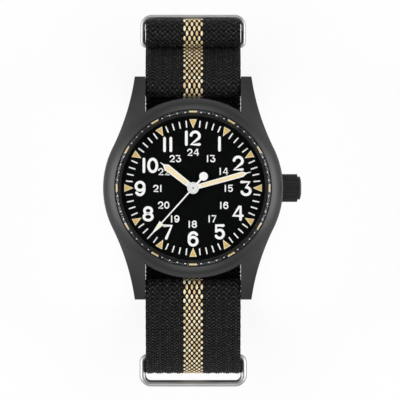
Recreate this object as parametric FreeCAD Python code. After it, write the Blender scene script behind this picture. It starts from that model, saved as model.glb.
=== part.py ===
"""Field watch on a pass-through webbing strap, in millimetres.

+Z points out of the dial, +Y to 12 o'clock and +X to the crown.
The origin is the middle of the strap's flat outer face, below the hands' axis.
"""
import math
import os

import FreeCAD
import Part

V = FreeCAD.Vector

# driving dimensions of the case
case_radius = 19.0
flank_start_angle = 26.5      # where the lug flank leaves the round case
lug_tip_y = 23.6
lug_tip_x = 12.35
lug_inner_x = 10.1
bezel_radius = 16.6
crystal_radius = 16.35
dial_bore_radius = 16.2
movement_bore_radius = 15.6

# heights above the outer face of the case back
back_thickness = 1.2
holder_top = 5.9
dial_bottom = 6.0
dial_thickness = 0.4
flange_top = 7.9
crystal_bottom = 8.0
bezel_top = 9.0
crystal_top = 9.3
crystal_chamfer = 0.42
bezel_edge_height = 7.0
stem_height = 4.0
crown_radius = 2.95
crown_face = 18.75            # its inner end, in a shallow seat in the case's flank

# spring bars
bar_y = 21.2
bar_height = 2.6
bar_radius = 0.7
pin_radius = 0.4

# strap webbing, its layers and the loop that it makes
strap_width = 20.0
strap_thickness = 1.2
layer_gap = 0.1
bar_gap = 0.05
wrap_radius = bar_radius + bar_gap + strap_thickness / 2
under_case_drop = 3.3         # from the spring bars down to the layer under the case
corner_radius_under = 1.3
twelve_side_y = 32.3          # where the strap hangs straight down, at 12 o'clock
twelve_side_z = 22.4
tail_corner_y = twelve_side_y + strap_thickness + layer_gap

# height of the spring bars over the floor, from the run on the 6 o'clock side
bar_z = 48.2
head_z = bar_z - bar_height

# buckle and rings
buckle_wire = 0.75
hinge_bar_y = -6.0
far_bar_y = -23.3
far_bar_z = 1.15
buckle_half_width = 12.0
tongue_width = 1.8
tongue_thickness = 0.65
keeper_wire = 0.525
keeper_half_width = 11.3
loop_wire = 0.7
loop_half_width = 11.5
loop_reach = -42.5

hole_pitch = 7.0
hole_width = 2.2
hole_length = 3.2
tongue_slot_length = 6.0
tongue_slot_back = 5.1        # from the end of the 6 o'clock curve

# quartz movement
plate_radius = 12.9
plate_bottom = 3.2
plate_top = 5.0
hour_angle = 308.0            # rest pose of the hands, clockwise from 12
minute_angle = 74.5
seconds_angle = 222.0


def yz(y, z):
    return V(0, y, z)


def cylinder(radius, low, high, x=0, y=0):
    """Upright cylinder between two heights over the case back."""
    return Part.makeCylinder(radius, high - low, V(x, y, head_z + low), V(0, 0, 1))


def rod(radius, start, end):
    direction = end - start
    return Part.makeCylinder(radius, direction.Length, start, direction)


def box(x, y, z):
    """Box from three (low, high) pairs."""
    return Part.makeBox(x[1] - x[0], y[1] - y[0], z[1] - z[0], V(x[0], y[0], z[0]))


def head_box(x, y, z):
    return box(x, y, (head_z + z[0], head_z + z[1]))


def revolved(outline, x=0, y=0):
    """Turn an outline of (radius, height) points about an upright axis of the head."""
    points = [V(x + r, y, head_z + h) for r, h in outline]
    face = Part.Face(Part.makePolygon(points + points[:1]))
    return face.revolve(V(x, y, 0), V(0, 0, 1), 360)


def ring(inner, outer, low, high, x=0, y=0):
    return cylinder(outer, low, high, x, y).cut(cylinder(inner, low - 1, high + 1, x, y))


def walk(start, heading, steps):
    """Follow lines and tangent arcs in the YZ plane: (point, heading) after each step."""
    y, z = start
    angle = math.radians(heading)
    places = [(y, z, angle)]
    for step in steps:
        if len(step) == 1:
            y += step[0] * math.cos(angle)
            z += step[0] * math.sin(angle)
        else:
            radius, turn = step[0], math.radians(step[1])
            side = math.copysign(1, turn)
            cy = y - side * radius * math.sin(angle)
            cz = z + side * radius * math.cos(angle)
            angle += turn
            y = cy + side * radius * math.sin(angle)
            z = cz - side * radius * math.cos(angle)
        places.append((y, z, angle))
    return places


def half_way(place, step):
    """The place in the middle of an arc step."""
    y, z, angle = place
    return walk((y, z), math.degrees(angle), [(step[0], step[1] / 2)])[-1]


def beside(place, offset):
    y, z, angle = place
    return yz(y - offset * math.sin(angle), z + offset * math.cos(angle))


def ribbon(start, heading, steps, thickness, width):
    """A flat band that follows the steps: each is (length,) or (radius, turn)."""
    places = walk(start, heading, steps)
    edges = []
    for offset in (thickness / 2, -thickness / 2):
        side = []
        for place, step, following in zip(places, steps, places[1:]):
            a, b = beside(place, offset), beside(following, offset)
            if len(step) == 1:
                side.append(Part.makeLine(a, b))
            else:
                side.append(Part.Arc(a, beside(half_way(place, step), offset), b).toShape())
        edges.append(side)
    left, right = edges
    ends = [Part.makeLine(beside(place, thickness / 2), beside(place, -thickness / 2))
            for place in (places[0], places[-1])]
    outline = Part.Wire(Part.__sortEdges__(left + right + ends))
    band = Part.Face(outline).extrude(V(width, 0, 0))
    band.translate(V(-width / 2, 0, 0))
    return band


def place_along(start, heading, steps, distance):
    """The place at a distance along the steps."""
    place = (*start, math.radians(heading))
    for step in steps:
        length = step[0] if len(step) == 1 else step[0] * abs(math.radians(step[1]))
        if distance <= length:
            part = (distance,) if len(step) == 1 else (step[0], step[1] * distance / length)
            return walk(place[:2], math.degrees(place[2]), [part])[-1]
        distance -= length
        place = walk(place[:2], math.degrees(place[2]), [step])[-1]
    return place


def path_length(steps):
    return sum(s[0] if len(s) == 1 else s[0] * abs(math.radians(s[1])) for s in steps)


def wire_loop(half_width, low, high, height, corners, wire):
    """A rounded rectangular ring of round wire, level at a height, low and high being
    the middles of its two long bars along Y."""
    x = half_width - wire
    below, above = corners
    points = [V(-x, low + below, height), V(-x, high - above, height),
              V(-x + above, high, height), V(x - above, high, height),
              V(x, high - above, height), V(x, low + below, height),
              V(x - below, low, height), V(-x + below, low, height)]
    cut, under = (corner * (1 - math.sqrt(0.5)) for corner in (above, below))
    middles = [V(-x + cut, high - cut, height), V(x - cut, high - cut, height),
               V(x - under, low + under, height), V(-x + under, low + under, height)]
    edges = []
    for i in range(4):
        a, b, c = points[2 * i], points[2 * i + 1], points[(2 * i + 2) % 8]
        edges.append(Part.makeLine(a, b))
        edges.append(Part.Arc(b, middles[i], c).toShape())
    path = Part.Wire(edges)
    section = Part.Wire(Part.makeCircle(wire, points[0], V(0, 1, 0)))
    return path.makePipeShell([section], True, False)


def gear(teeth, module, low, high, x=0, y=0, bore=0, phase=0):
    """Spur wheel with straight-sided teeth; phase turns it, in teeth."""
    pitch = module * teeth / 2
    root, tip = pitch - 1.1 * module, pitch + 0.85 * module
    step = 2 * math.pi / teeth
    points = []
    for i in range(teeth):
        middle = (i + phase) * step
        for radius, share in ((root, -0.30), (tip, -0.13), (tip, 0.13), (root, 0.30)):
            angle = middle + share * step
            points.append(V(x + radius * math.cos(angle), y + radius * math.sin(angle),
                            head_z + low))
    face = Part.Face(Part.makePolygon(points + points[:1]))
    wheel = face.extrude(V(0, 0, high - low))
    return wheel.cut(cylinder(bore, low - 1, high + 1, x, y)) if bore else wheel


def mesh_phase(teeth, angle, other_teeth, other_phase):
    """Phase that puts a tooth space of this wheel on the line to a tooth of the other.
    The angle is the direction from the other wheel's axis to this one's, in degrees."""
    tooth_on_line = angle / 360 * other_teeth - other_phase
    lag = tooth_on_line - round(tooth_on_line)
    return (angle + 180) / 360 * teeth + 0.5 + lag


# the case


def lug_plan():
    """One lug seen from above: its outer flank is an arc tangent to the round case."""
    start = math.radians(flank_start_angle)
    sx, sy = case_radius * math.cos(start), case_radius * math.sin(start)
    dx, dy = lug_tip_x - sx, lug_tip_y - sy
    radius = (dx * dx + dy * dy) / (2 * (dx * math.cos(start) + dy * math.sin(start)))
    cx, cy = sx + radius * math.cos(start), sy + radius * math.sin(start)
    mid = math.atan2((sy + lug_tip_y) / 2 - cy, (sx + lug_tip_x) / 2 - cx)
    middle = V(cx + radius * math.cos(mid), cy + radius * math.sin(mid), 0)
    flank = Part.Arc(V(sx, sy, 0), middle, V(lug_tip_x, lug_tip_y, 0)).toShape()
    tip = Part.makeLine(V(lug_tip_x, lug_tip_y, 0), V(lug_inner_x, lug_tip_y, 0))
    inner = Part.makeLine(V(lug_inner_x, lug_tip_y, 0), V(lug_inner_x, sy, 0))
    root = Part.makeLine(V(lug_inner_x, sy, 0), V(sx, sy, 0))
    return Part.Face(Part.Wire([flank, tip, inner, root]))


def lugs(low, high):
    """The four lugs as upright prisms."""
    one = lug_plan().extrude(V(0, 0, high - low))
    one.translate(V(0, 0, head_z + low))
    pair = one.fuse(one.mirror(V(0, 0, 0), V(1, 0, 0)))
    return pair.fuse(pair.mirror(V(0, 0, 0), V(0, 1, 0)))


def case_top():
    """Everything under the bezel's curve and its wider, steeper skirt over the lugs."""
    bezel = Part.Arc(V(bezel_radius - 1, 0, bezel_top + 0.25), V(17.75, 0, 8.3),
                     V(18.75, 0, bezel_edge_height + 0.25)).toShape()
    skirt = Part.Arc(V(18.75, 0, bezel_edge_height + 0.25), V(23.2, 0, 5.35),
                     V(27.2, 0, 2.3)).toShape()
    lines = [Part.makeLine(V(27.2, 0, 2.3), V(27.2, 0, 0)),
             Part.makeLine(V(27.2, 0, 0), V(0, 0, 0)),
             Part.makeLine(V(0, 0, 0), V(0, 0, bezel_top + 0.25)),
             Part.makeLine(V(0, 0, bezel_top + 0.25),
                           V(bezel_radius - 1, 0, bezel_top + 0.25))]
    face = Part.Face(Part.Wire([bezel, skirt] + lines))
    solid = face.revolve(V(0, 0, 0), V(0, 0, 1), 360)
    solid.translate(V(0, 0, head_z))
    return solid


def lug_underside():
    """Side view of the lugs, so that they rise towards the case and end rounded."""
    half = lug_tip_y
    points = [(-half, 3.2), (-half, 0.9), (-half + 0.8, 0.4), (-17, 1.3), (-8.5, 2.9),
              (8.5, 2.9), (17, 1.3), (half - 0.8, 0.4), (half, 0.9), (half, 3.2),
              (16, 10), (-16, 10)]
    wire = Part.makePolygon([V(0, y, head_z + h) for y, h in points + points[:1]])
    prism = Part.Face(wire).extrude(V(60, 0, 0))
    prism.translate(V(-30, 0, 0))
    return prism


def case_middle():
    body = revolved([(0, 1.2), (17.3, 1.2), (18.5, 2.4), (case_radius, 3.0),
                     (case_radius, 10), (0, 10)])
    between = case_radius - 0.2
    neck = head_box((-lug_inner_x, lug_inner_x), (-30, 30), (0, 6.3))
    neck = neck.cut(cylinder(between, -1, 10))
    outer = body.cut(neck).fuse(lugs(0.4, 10).common(lug_underside())).common(case_top())
    outer = outer.removeSplitter()
    top_high = crystal_top + 10
    for radius, low, high in ((movement_bore_radius, -1, top_high),
                              (dial_bore_radius, dial_bottom - 0.05, top_high),
                              (bezel_radius, flange_top, top_high),
                              (16.45, -1, back_thickness), (16.2, -1, 1.75)):
        outer = outer.cut(cylinder(radius, low, high))
    for y in (-bar_y, bar_y):
        hole = rod(pin_radius + 0.05, V(-11.4, y, bar_z), V(11.4, y, bar_z))
        outer = outer.cut(hole)
    stem_hole = rod(1.3, V(14, 0, head_z + stem_height), V(20, 0, head_z + stem_height))
    crown_seat = rod(crown_radius + 0.06, V(crown_face - 0.05, 0, head_z + stem_height),
                     V(20, 0, head_z + stem_height))
    return outer.cut(stem_hole).cut(crown_seat)


def case_back():
    disc = revolved([(0, 0.3), (0, 0), (15.2, 0), (16.3, 0.5), (16.3, back_thickness),
                     (15.5, back_thickness), (15.5, 2.3), (14.6, 2.3), (14.6, 1.0), (0, 1.0)])
    for i in range(6):
        angle = math.radians(30 + 60 * i)
        notch = cylinder(0.9, -1, 0.7, 15.9 * math.cos(angle), 15.9 * math.sin(angle))
        disc = disc.cut(notch)
    return disc


def crystal():
    edge = crystal_radius - crystal_chamfer
    return revolved([(0, crystal_bottom), (crystal_radius, crystal_bottom),
                     (crystal_radius, crystal_top - crystal_chamfer),
                     (edge, crystal_top), (0, crystal_top)])


def crystal_gasket():
    lip = bezel_top - 0.1
    return revolved([(15.97, flange_top), (bezel_radius, flange_top), (bezel_radius, lip),
                     (crystal_radius, lip), (crystal_radius, crystal_bottom),
                     (15.97, crystal_bottom)])


def dial_flange():
    outer = dial_bore_radius - 0.05
    top = dial_bottom + dial_thickness
    return revolved([(15.2, top), (outer, top), (outer, flange_top), (15.95, flange_top)])


def dial():
    disc = cylinder(dial_bore_radius - 0.05, dial_bottom, dial_bottom + dial_thickness)
    disc = disc.cut(cylinder(1.0, 0, 20))
    for x, y in ((-9.5, 5.0), (9.5, -5.0)):
        disc = disc.fuse(cylinder(0.35, plate_top - 0.8, dial_bottom, x, y))
    return disc


def movement_holder():
    body = ring(plate_radius + 0.1, movement_bore_radius - 0.05, 2.35, holder_top)
    slot = head_box((11, 17), (-1.6, 1.6), (2, stem_height + 1.6))
    return body.cut(slot)


# crown and stem


def knurled_crown():
    low, high, radius = crown_face, 22.0, crown_radius
    height = head_z + stem_height
    centre = V(low, 0, height)
    body = Part.makeCylinder(radius, high - low, centre, V(1, 0, 0))
    grooves = 30
    for i in range(grooves):
        angle = 2 * math.pi * i / grooves
        spot = V(low - 1, radius * math.cos(angle), height + radius * math.sin(angle))
        body = body.cut(Part.makeCylinder(0.17, high - low + 2, spot, V(1, 0, 0)))
    bevel = Part.makeCone(radius + 0.4, radius - 0.35, 0.45, V(high - 0.25, 0, height),
                          V(1, 0, 0))
    body = body.common(Part.makeCylinder(radius + 1, high - 0.25 - low, centre, V(1, 0, 0))
                       .fuse(bevel))
    cap_radius, cap_reach = 2.45, 22.95
    cap = Part.makeCylinder(cap_radius, 0.55, V(high - 0.1, 0, height), V(1, 0, 0))
    dome_radius = 8.0
    dome = Part.makeSphere(dome_radius, V(cap_reach - dome_radius, 0, height))
    tube = Part.makeCylinder(cap_radius, cap_reach - high, V(high - 0.1, 0, height),
                             V(1, 0, 0))
    cap = cap.fuse(tube).common(dome)
    hollow = Part.makeCylinder(1.9, 21.15 - low + 0.1, V(low - 0.1, 0, height), V(1, 0, 0))
    bore = Part.makeCylinder(0.45, 21.55 - low + 0.1, V(low - 0.1, 0, height), V(1, 0, 0))
    return body.fuse(cap).removeSplitter().cut(hollow).cut(bore)


def stem():
    height = head_z + stem_height
    shaft = rod(0.45, V(7.6, 0, height), V(21.55, 0, height))
    square = box((4.6, 7.6), (-0.28, 0.28), (height - 0.28, height + 0.28))
    groove = rod(0.6, V(9.4, 0, height), V(9.9, 0, height))
    groove = groove.cut(rod(0.3, V(9, 0, height), V(10.4, 0, height)))
    return shaft.cut(groove).fuse(square)


def crown_tube():
    height = head_z + stem_height
    tube = rod(1.3, V(15.7, 0, height), V(20.6, 0, height))
    return tube.cut(rod(0.55, V(15, 0, height), V(21, 0, height)))


def crown_gasket():
    return Part.makeTorus(1.615, 0.26, V(20.1, 0, head_z + stem_height), V(1, 0, 0))


def clutch_wheel():
    height = head_z + stem_height
    body = rod(0.85, V(5.2, 0, height), V(7.0, 0, height))
    hole = box((5, 7.2), (-0.33, 0.33), (height - 0.33, height + 0.33))
    body = body.cut(hole)
    groove = rod(1.0, V(6.0, 0, height), V(6.4, 0, height))
    return body.cut(groove.cut(rod(0.62, V(5.9, 0, height), V(6.5, 0, height))))


# spring bars


def spring_bar_tube(y):
    tube = rod(bar_radius, V(-9.4, y, bar_z), V(9.4, y, bar_z))
    tube = tube.cut(rod(0.52, V(-8.9, y, bar_z), V(8.9, y, bar_z)))
    return tube.cut(rod(pin_radius + 0.03, V(-10, y, bar_z), V(10, y, bar_z)))


def spring_bar_pin(y, side):
    tip = rod(pin_radius, V(side * 8.0, y, bar_z), V(side * 11.2, y, bar_z))
    shoulder = rod(0.49, V(side * 6.6, y, bar_z), V(side * 8.8, y, bar_z))
    return tip.fuse(shoulder)


def spring_bar_spring(y):
    pitch, length, radius, wire = 0.5, 11.0, 0.38, 0.08
    helix = Part.makeHelix(pitch, length, radius)
    section = Part.Wire(Part.makeCircle(wire, V(radius, 0, 0), V(0, 1, 0)))
    coil = Part.Wire(helix).makePipeShell([section], True, True)
    coil.rotate(V(0, 0, 0), V(0, 1, 0), 90)
    coil.translate(V(-length / 2, y, bar_z))
    return coil


# hands: a frame with raised edge and the luminous fill inside it


def pointed_hand(tip, shoulder, neck_width, wide, low, high, boss, bore, needle=0.28):
    """A hand along +Y, before it is turned: widening body, then a fine needle."""
    outline = [(-neck_width / 2, 0.6), (-wide / 2, shoulder), (-needle / 2, shoulder + 0.85),
               (-0.06, tip), (0.06, tip), (needle / 2, shoulder + 0.85), (wide / 2, shoulder),
               (neck_width / 2, 0.6)]
    points = [V(x, y, head_z + low) for x, y in outline]
    blade = Part.Face(Part.makePolygon(points + points[:1])).extrude(V(0, 0, high - low))
    body = blade.fuse(cylinder(boss, low, high + 0.05))
    return body.cut(cylinder(bore, low - 1, high + 1))


def lume_bar(start, end, start_width, end_width, low, high, point=0.55):
    outline = [(-start_width / 2, start), (-end_width / 2, end), (0, end + point),
               (end_width / 2, end), (start_width / 2, start)]
    points = [V(x, y, head_z + low) for x, y in outline]
    return Part.Face(Part.makePolygon(points + points[:1])).extrude(V(0, 0, high - low))


def turned(shape, clockwise):
    shape.rotate(V(0, 0, 0), V(0, 0, 1), -clockwise)
    return shape


def hour_hand_parts():
    low, high = 6.75, 6.92
    fill = lume_bar(1.75, 7.0, 0.72, 0.86, low, high)
    hand = pointed_hand(8.75, 7.1, 1.12, 1.42, low, high, 1.25, 0.86)
    return turned(hand.cut(fill), hour_angle), turned(fill.copy(), hour_angle)


def minute_hand_parts():
    low, high = 7.05, 7.2
    fill = lume_bar(1.75, 10.75, 0.6, 0.68, low, high)
    hand = pointed_hand(12.65, 10.85, 0.98, 1.14, low, high, 1.18, 0.5)
    return turned(hand.cut(fill), minute_angle), turned(fill.copy(), minute_angle)


def seconds_hand_parts():
    low, high = 7.34, 7.46
    outline = [(-0.22, -3.3), (-0.22, -0.4), (-0.15, 0.5), (-0.14, 9.9), (-0.58, 9.9),
               (-0.13, 12.6), (-0.06, 14.5), (0.06, 14.5), (0.13, 12.6), (0.58, 9.9),
               (0.14, 9.9), (0.15, 0.5), (0.22, -0.4), (0.22, -3.3)]
    points = [V(x, y, head_z + low) for x, y in outline]
    needle = Part.Face(Part.makePolygon(points + points[:1])).extrude(V(0, 0, high - low))
    hand = needle.fuse(cylinder(0.92, low, high, 0, -3.3)).fuse(cylinder(0.75, low, high))
    fill = lume_bar(10.05, 10.9, 0.72, 0.45, low, high, 1.0)
    hand = hand.cut(fill).cut(cylinder(0.21, 0, 20))
    return turned(hand, seconds_angle), turned(fill.copy(), seconds_angle)


# quartz movement: plate, bridge, wheel train and motion works

third_angle, third_distance = 100.0, 3.4
fifth_angle, fifth_distance = 230.0, 2.6
rotor_angle, rotor_distance = 200.0, 2.1
minute_wheel_angle, minute_wheel_distance = -40.0, 2.4


def polar(distance, degrees, x=0.0, y=0.0):
    return (x + distance * math.cos(math.radians(degrees)),
            y + distance * math.sin(math.radians(degrees)))


third_x, third_y = polar(third_distance, third_angle)
fifth_x, fifth_y = polar(fifth_distance, fifth_angle)
rotor_x, rotor_y = polar(rotor_distance, rotor_angle, fifth_x, fifth_y)
minute_x, minute_y = polar(minute_wheel_distance, minute_wheel_angle)
battery_x, battery_y = 1.7, -7.9
coil_x, coil_y = -7.6, 3.0
bridge_posts = ((-3.7, 6.4), (2.6, 6.2), (-5.4, -5.0))


def main_plate():
    plate = cylinder(plate_radius, plate_bottom, plate_top)
    plate = plate.cut(cylinder(0.66, 0, 20))
    plate = plate.cut(cylinder(4.75, 0, 4.6, battery_x, battery_y))
    plate = plate.cut(head_box((coil_x - 1.6, coil_x + 1.6), (coil_y - 5.4, coil_y + 5.4), (3, 4.8)))
    plate = plate.cut(cylinder(0.95, 0, 3.75, rotor_x, rotor_y))
    height = head_z + stem_height
    plate = plate.cut(rod(0.62, V(7.5, 0, height), V(14, 0, height)))
    plate = plate.cut(box((4.2, 8.2), (-1.0, 1.0), (head_z + 2.9, head_z + 5.5)))
    plate = plate.cut(box((8.9, 11.3), (-0.7, 0.7), (head_z + 4, head_z + 5.5)))
    plate = plate.cut(cylinder(0.12, 3, 6, third_x, third_y))
    for x, y in ((-9.5, 5.0), (9.5, -5.0)):
        plate = plate.cut(cylinder(0.4, 3, 6, x, y))
    rim = ring(plate_radius - 1.2, plate_radius, 1.75, plate_bottom)
    rim = rim.cut(head_box((9, 14), (-2, 2), (1, 4)))
    rim = rim.cut(cylinder(4.75, 0, 4.6, battery_x, battery_y))
    return plate.fuse(rim)


def train_bridge():
    """Plate that holds the lower pivots of the wheel train."""
    bridge = head_box((-6.2, 3.4), (-5.8, 7.2), (1.5, 1.85))
    bridge = bridge.cut(cylinder(5.05, 0, 3, battery_x, battery_y))
    for x, y in bridge_posts:
        post = cylinder(0.6, 1.85, plate_bottom, x, y)
        bridge = bridge.fuse(post).cut(cylinder(0.32, 1, 3.0, x, y))
    return bridge


def movement_screws():
    screws = []
    for x, y in bridge_posts:
        head = cylinder(0.5, 1.2, 1.5, x, y).fuse(cylinder(0.3, 1.5, 2.9, x, y))
        screws.append(head.cut(head_box((x - 0.6, x + 0.6), (y - 0.07, y + 0.07), (1.1, 1.3))))
    return Part.makeCompound(screws)


def center_wheel():
    wheel = gear(60, 0.1, 2.88, 3.03)
    pipe = cylinder(0.6, 2.8, 5.05).fuse(gear(10, 0.12, 5.05, 5.3))
    pipe = pipe.fuse(cylinder(0.5, 5.3, 7.25))
    return wheel.fuse(pipe).cut(cylinder(0.27, 0, 20))


def fourth_wheel():
    wheel = gear(40, fifth_distance / 24, 2.1, 2.25, phase=0.0)
    pinion = gear(8, third_distance / 36, 2.25, 2.7)
    arbor = cylinder(0.2, 1.86, 7.55)
    return wheel.fuse(pinion).fuse(arbor)


def third_wheel():
    wheel = gear(64, third_distance / 36, 2.45, 2.6, third_x, third_y,
                 phase=mesh_phase(64, third_angle, 8, 0))
    pinion = gear(8, 0.1, 2.6, 3.1, third_x, third_y,
                  phase=mesh_phase(8, third_angle, 60, 0))
    return wheel.fuse(pinion).fuse(cylinder(0.1, 1.9, 4.0, third_x, third_y))


def fifth_wheel():
    wheel = gear(36, 0.1, 2.45, 2.6, fifth_x, fifth_y)
    pinion = gear(8, fifth_distance / 24, 2.0, 2.45, fifth_x, fifth_y,
                  phase=mesh_phase(8, fifth_angle, 40, 0))
    return wheel.fuse(pinion).fuse(cylinder(0.1, 1.88, 2.85, fifth_x, fifth_y))


def rotor():
    pinion = gear(6, 0.1, 2.35, 2.7, rotor_x, rotor_y,
                  phase=mesh_phase(6, rotor_angle, 36, 0))
    magnet = cylinder(0.7, 2.8, 3.6, rotor_x, rotor_y)
    return pinion.fuse(magnet).fuse(cylinder(0.1, 1.88, 3.7, rotor_x, rotor_y))


def stator():
    """Flat yoke of the step motor: round the rotor, with a leg to each end of the coil."""
    level = (2.85, 3.15)
    pole = head_box((rotor_x - 1.3, rotor_x + 1.3), (rotor_y - 1.3, rotor_y + 1.3), level)
    short_leg = head_box((coil_x - 0.8, rotor_x - 0.5), (rotor_y - 0.8, coil_y - 4.4), level)
    long_leg = head_box((-5.6, -4.6), (rotor_y + 0.9, coil_y + 5.2), level)
    end = head_box((coil_x - 0.8, -4.6), (coil_y + 4.45, coil_y + 5.2), level)
    gap = head_box((-7.0, -4.7), (coil_y - 4.4, coil_y - 3.9), level)
    plate = pole.fuse([short_leg, long_leg, end]).removeSplitter().cut(gap)
    plate = plate.cut(cylinder(3.3, 0, 5))
    return plate.cut(cylinder(0.85, 0, 5, rotor_x, rotor_y))


def coil():
    core = head_box((coil_x - 0.5, coil_x + 0.5), (coil_y - 5.2, coil_y + 5.2), (3.2, 3.8))
    height = head_z + 3.5
    winding = rod(1.2, V(coil_x, coil_y - 4.0, height), V(coil_x, coil_y + 4.0, height))
    flanges = [rod(1.3, V(coil_x, coil_y + y, height), V(coil_x, coil_y + y + 0.3, height))
               for y in (-4.3, 4.0)]
    return winding.fuse(flanges).fuse(core)


def circuit_board():
    board = head_box((-11.0, -6.5), (-2.0, 7.6), (1.7, 1.95))
    chip = head_box((-10.4, -8.2), (3.4, 5.8), (1.35, 1.7))
    clear = cylinder(plate_radius - 1.3, 1, 3)
    return board.common(clear).fuse(chip)


def quartz_can():
    height = head_z + 2.6
    return rod(0.55, V(6.0, 3.2, height), V(6.0, 8.6, height))


def battery():
    low = 1.75
    cell = cylinder(4.6, low + 0.35, 4.3, battery_x, battery_y)
    return cell.fuse(cylinder(4.1, low, low + 0.35, battery_x, battery_y))


def battery_clamp():
    strip = head_box((battery_x - 5.6, battery_x + 5.6), (battery_y - 0.8, battery_y + 0.8),
                     (1.5, 1.72))
    return strip.common(cylinder(11.5, 0, 5))


def minute_wheel():
    wheel = gear(30, 0.12, 5.08, 5.27, minute_x, minute_y,
                 phase=mesh_phase(30, minute_wheel_angle, 10, 0))
    pinion = gear(8, 0.12, 5.27, 5.7, minute_x, minute_y)
    return wheel.fuse(pinion).cut(cylinder(0.22, 4, 7, minute_x, minute_y))


def minute_wheel_post():
    return cylinder(0.2, plate_top, 5.8, minute_x, minute_y)


def hour_wheel():
    phase = mesh_phase(32, minute_wheel_angle + 180, 8, 0)
    wheel = gear(32, 0.12, 5.4, 5.6, phase=phase)
    pipe = cylinder(0.85, 5.35, 6.98)
    return wheel.fuse(pipe).cut(cylinder(0.55, 4, 9))


def setting_wheel():
    x, y = polar(2.9, 5.0, minute_x, minute_y)
    wheel = gear(18, 0.12, 5.08, 5.27, x, y, 0.22,
                 mesh_phase(18, 5.0, 30, mesh_phase(30, minute_wheel_angle, 10, 0)))
    return wheel


def setting_lever():
    """Lever whose pin sits in the stem's groove; it turns when the crown is pulled."""
    pivot_x, pivot_y = 9.65, 3.2
    arm = head_box((9.2, 10.1), (-0.2, 3.6), (5.08, 5.3))
    arm = arm.fuse(cylinder(0.7, 5.08, 5.3, pivot_x, pivot_y))
    pin = cylinder(0.2, 4.35, 5.1, pivot_x, 0)
    return arm.fuse(pin).cut(cylinder(0.25, 5, 6, pivot_x, pivot_y))


def yoke():
    """Spring arm that pushes the clutch wheel in when the lever turns."""
    pivot_x, pivot_y = 6.2, 6.2
    arm = head_box((6.0, 6.4), (0.0, 6.2), (5.08, 5.25))
    arm = arm.fuse(cylinder(0.6, 5.08, 5.25, pivot_x, pivot_y))
    pin = head_box((6.06, 6.34), (0.0, 0.4), (4.66, 5.1))
    return arm.fuse(pin).cut(cylinder(0.25, 5, 6, pivot_x, pivot_y))


# strap, from the fold round the buckle's bar to the tucked end of the tail

return_z = strap_thickness * 1.5 + layer_gap
hinge_bar_z = return_z + buckle_wire + bar_gap + strap_thickness / 2
sewn_z = return_z + strap_thickness + bar_gap
fold_radius = buckle_wire + bar_gap + strap_thickness / 2
fold_end_y = 7.0

dip = hinge_bar_z + fold_radius - sewn_z
dip_radius = 4.0
dip_turn = math.degrees(math.acos(1 - dip / (2 * dip_radius)))
dip_run = 2 * dip_radius * math.sin(math.radians(dip_turn))

sewn_corner = twelve_side_z - sewn_z
twelve_upper = 45.9           # radius of the 12 o'clock side above its widest point
near_bar = 20.5               # and beside the spring bar
tail_corner = twelve_side_z - strap_thickness / 2
tail_rise = 20                # degrees that the tail follows the 12 o'clock side
roll_radius = 2.4             # fold at the tail's top
tail_tuck = 13.6              # its end, back down through the upper keeper

six_side_steps = [(4.5, 36), (43.5, 12), (88, 6), (14.1, 36)]


def strap_start():
    return (fold_end_y, return_z), 180


def strap_to_bars():
    """Steps from the sewn fold to the top of the 12 o'clock spring bar."""
    flat = twelve_side_y - sewn_corner - hinge_bar_y - dip_run
    return [(fold_end_y - hinge_bar_y,), (fold_radius, -180), (dip_radius, -dip_turn),
            (dip_radius, dip_turn), (flat,), (sewn_corner, 90), (twelve_upper, 25),
            (near_bar, 27), (wrap_radius, 38)]


def strap_under_case():
    down = under_case_drop - corner_radius_under
    across = 2 * (bar_y - wrap_radius - corner_radius_under)
    return [(wrap_radius, 90), (down,), (corner_radius_under, -90), (across,),
            (corner_radius_under, -90), (down,), (wrap_radius, 90)]


def strap_tail(drop_y, drop_z):
    """From the widest place at 6 o'clock, under the loop and up to the tucked end."""
    low_radius = drop_z - strap_thickness / 2
    flat = tail_corner_y - tail_corner - (drop_y + low_radius)
    up = twelve_upper + strap_thickness + layer_gap
    return [(low_radius, 90), (flat,), (tail_corner, 90), (up, tail_rise),
            (roll_radius, -180 - tail_rise), (tail_tuck,)]


def long_strap_steps():
    start, heading = strap_start()
    steps = strap_to_bars() + strap_under_case() + six_side_steps
    drop_y, drop_z, _ = walk(start, heading, steps)[-1]
    return steps + strap_tail(drop_y, drop_z)


def hole_distances():
    """Middles of the punched slots along the strap, the tongue's own being number 0."""
    low_run = path_length(strap_to_bars() + strap_under_case() + six_side_steps)
    drop_radius = long_strap_steps()[len(strap_to_bars() + strap_under_case()) + 4][0]
    tongue_slot = low_run + drop_radius * math.radians(90) - tongue_slot_back
    return {i: tongue_slot + hole_pitch * i for i in range(-3, 5)}


def long_strap():
    start, heading = strap_start()
    steps = long_strap_steps()
    band = ribbon(start, heading, steps, strap_thickness, strap_width)
    for number, distance in hole_distances().items():
        y, z, angle = place_along(start, heading, steps, distance)
        length = hole_length if number else tongue_slot_length
        slot = box((-hole_width / 2, hole_width / 2), (-length / 2, length / 2), (-1.1, 1.1))
        slot.rotate(V(0, 0, 0), V(1, 0, 0), math.degrees(angle))
        slot.translate(V(0, y, z))
        band = band.cut(slot)
    eye_slot = box((-1.2, 1.2), (hinge_bar_y - 3, hinge_bar_y + 2.2), (1.25, 6))
    band = band.cut(eye_slot)
    for x in ((-10.1, -9.3), (9.3, 10.1)):
        band = band.cut(box(x, (34.6, 36.7), (keeper_one_z - 1.5, keeper_one_z + 1.5)))
    return band


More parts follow.
